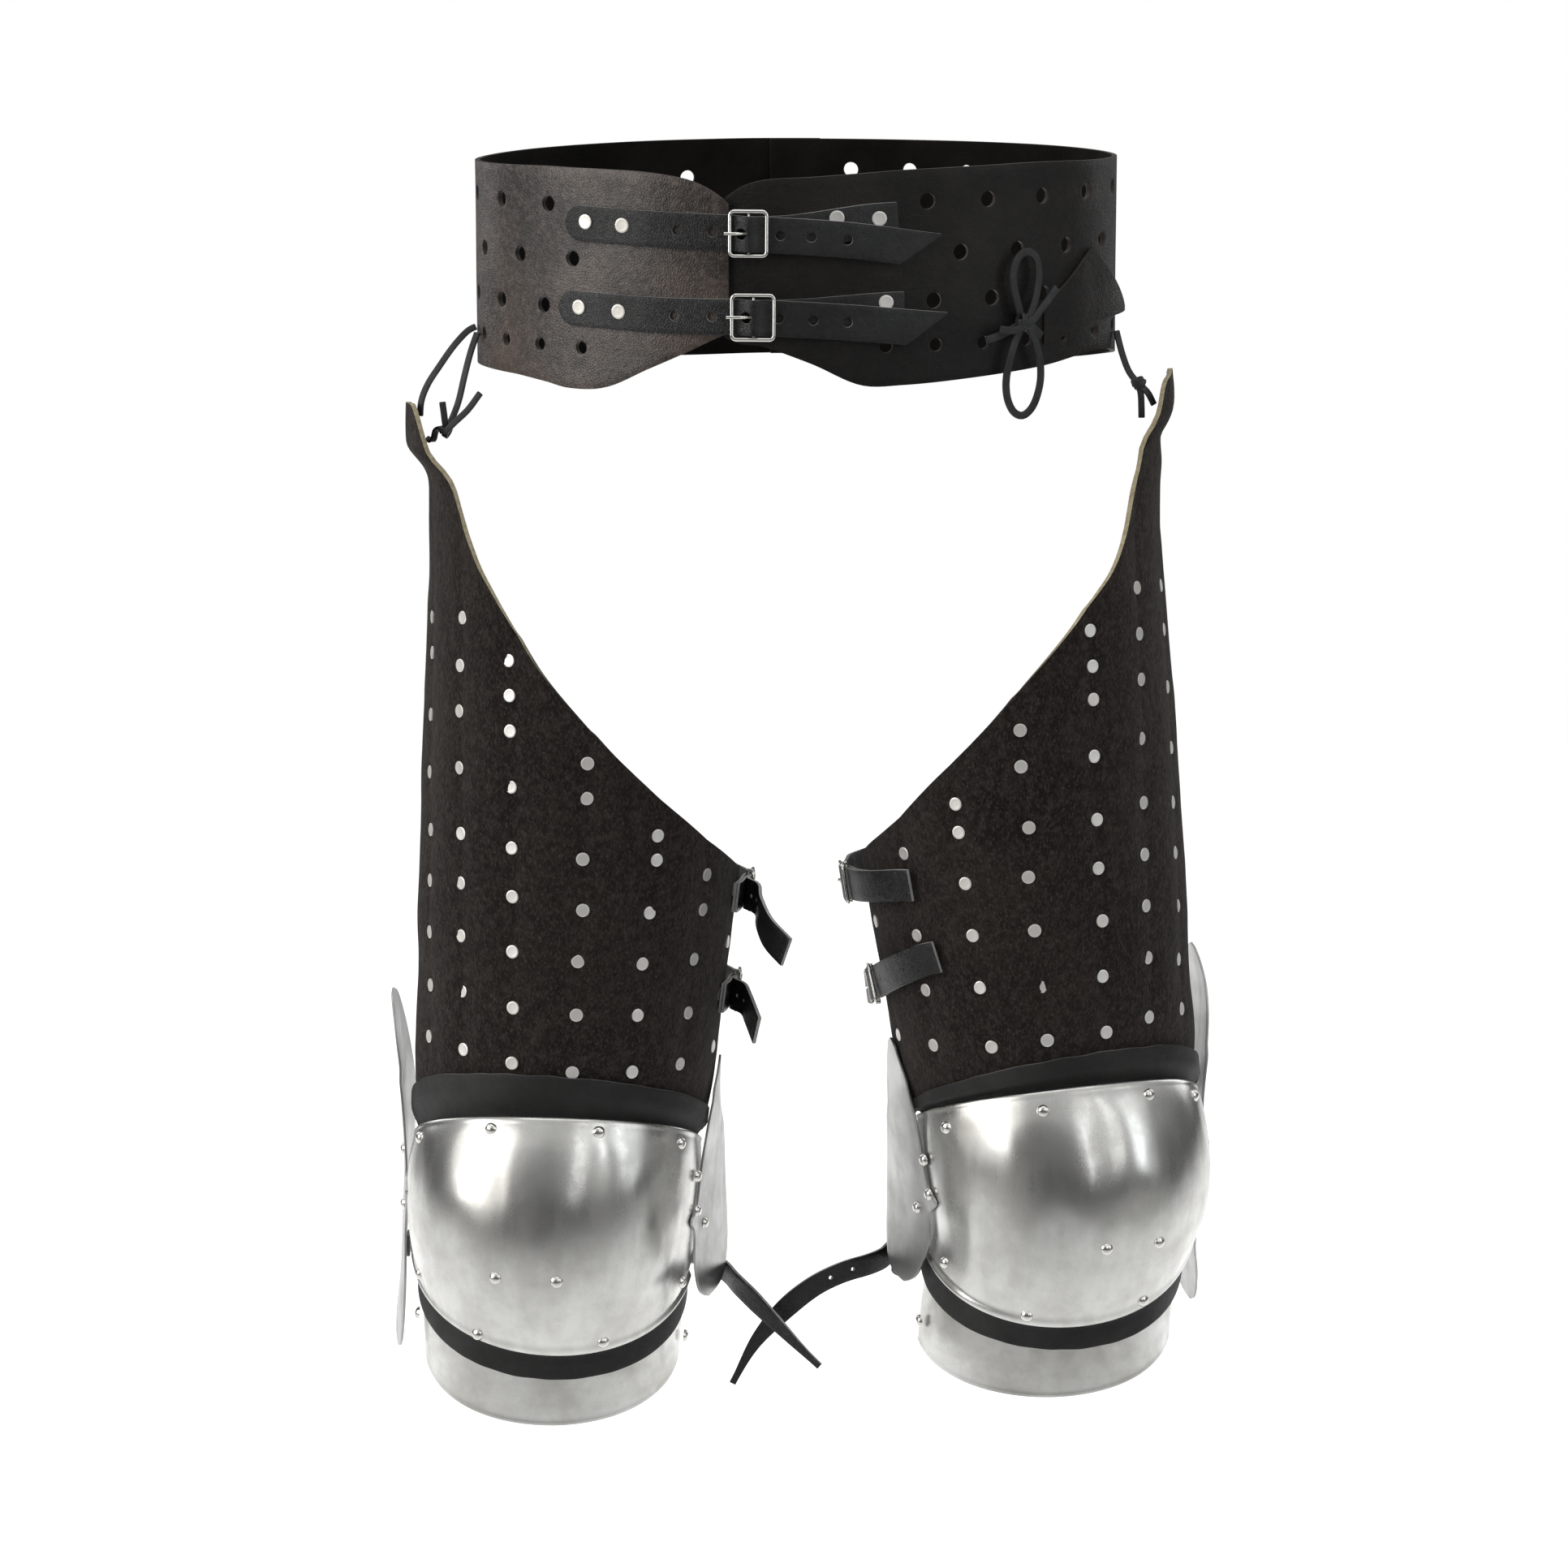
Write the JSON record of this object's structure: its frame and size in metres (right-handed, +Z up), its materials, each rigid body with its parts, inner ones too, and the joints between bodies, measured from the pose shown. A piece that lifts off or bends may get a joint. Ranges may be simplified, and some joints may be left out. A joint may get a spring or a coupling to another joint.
{
  "type": "pair of brigandine cuisses on a belt",
  "caption": "Pair of suede-covered splinted thigh defences with bright steel knees and side wings, laced to a wide perforated leather waist belt.",
  "frame": {"origin": "middle of the belt's ring at the wearer's waist, half way up the belt, where the wearer holds the garment up", "axes": "+Z up, +X to the wearer's left, -Y the wearer's front"},
  "size_m": [0.498, 0.2721, 0.7553],
  "materials": {
    "belt_leather": "semi-gloss, smooth grain",
    "strap_leather": "matt",
    "suede": "napped, dull",
    "bright_steel": "polished",
    "satin_steel": "satin",
    "nickel": "polished nickel",
    "lace": "matt"
  },
  "bodies": {
    "root": {"belt_right": "belt_leather", "belt_left": "belt_leather", "belt_strap_upper": "strap_leather", "belt_chape_upper": "strap_leather", "belt_buckle_upper": "nickel", "belt_strap_lower": "strap_leather", "belt_chape_lower": "strap_leather", "belt_buckle_lower": "nickel", "belt_flap": "belt_leather", "right_cuisse": "suede", "right_splint_1": "satin_steel", "right_splint_2": "satin_steel", "right_splint_3": "satin_steel", "right_splint_4": "satin_steel", "right_splint_5": "satin_steel", "right_splint_6": "satin_steel", "right_splint_7": "satin_steel", "right_knee_strip_top": "strap_leather", "right_cop": "bright_steel", "right_knee_strip_low": "strap_leather", "right_lame": "bright_steel", "right_wing_outer": "satin_steel", "right_wing_inner": "satin_steel", "right_thigh_strap_upper": "strap_leather", "right_thigh_chape_upper": "strap_leather", "right_thigh_buckle_upper": "nickel", "right_thigh_strap_lower": "strap_leather", "right_thigh_chape_lower": "strap_leather", "right_thigh_buckle_lower": "nickel", "right_knee_strap": "strap_leather", "right_knee_chape": "strap_leather", "right_knee_buckle": "nickel", "left_cuisse": "suede", "left_splint_1": "satin_steel", "left_splint_2": "satin_steel", "left_splint_3": "satin_steel", "left_splint_4": "satin_steel", "left_splint_5": "satin_steel", "left_splint_6": "satin_steel", "left_splint_7": "satin_steel", "left_knee_strip_top": "strap_leather", "left_cop": "bright_steel", "left_knee_strip_low": "strap_leather", "left_lame": "bright_steel", "left_wing_outer": "satin_steel", "left_wing_inner": "satin_steel", "left_thigh_strap_upper": "strap_leather", "left_thigh_chape_upper": "strap_leather", "left_thigh_buckle_upper": "nickel", "left_thigh_strap_lower": "strap_leather", "left_thigh_chape_lower": "strap_leather", "left_thigh_buckle_lower": "nickel", "left_knee_strap": "strap_leather", "left_knee_chape": "strap_leather", "left_knee_buckle": "nickel", "bow_lace": "lace", "right_hip_lace_front": "lace", "right_hip_lace_back": "lace", "left_hip_lace": "lace"}
  },
  "joints": []
}
